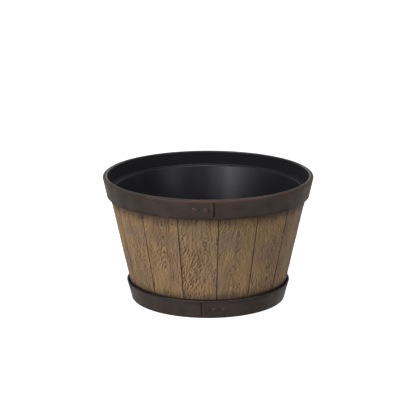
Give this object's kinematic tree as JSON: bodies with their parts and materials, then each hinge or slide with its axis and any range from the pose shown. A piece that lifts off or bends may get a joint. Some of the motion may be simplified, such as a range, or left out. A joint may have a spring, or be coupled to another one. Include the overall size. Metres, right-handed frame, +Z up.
{
  "type": "half-barrel planter",
  "caption": "Open round tub planter that tapers to its foot: upright wood-look staves held by dark, lapped and riveted hoops around a black inner pot with a ledge.",
  "frame": {"origin": "centre of the foot on the ground, on the tub's axis", "axes": "+Z up along the tub's axis; -Y towards the front, where both hoops lap; +X to the right seen from the front"},
  "size_m": [0.394, 0.3947, 0.236],
  "materials": {
    "liner": "smooth black moulded plastic with a soft sheen",
    "stave": "moulded and painted wood grain, weathered oak brown with dark pores",
    "hoop": "painted dark bronze, worn copper brown along the edges",
    "rivet": "painted dark bronze, worn lighter on the heads"
  },
  "bodies": {
    "root": {"liner": "liner", "stave_01": "stave", "stave_02": "stave", "stave_03": "stave", "stave_04": "stave", "stave_05": "stave", "stave_06": "stave", "stave_07": "stave", "stave_08": "stave", "stave_09": "stave", "stave_10": "stave", "stave_11": "stave", "stave_12": "stave", "stave_13": "stave", "stave_14": "stave", "stave_15": "stave", "top_hoop": "hoop", "foot_hoop": "hoop", "top_rivets": "rivet", "foot_rivets": "rivet"}
  },
  "joints": []
}
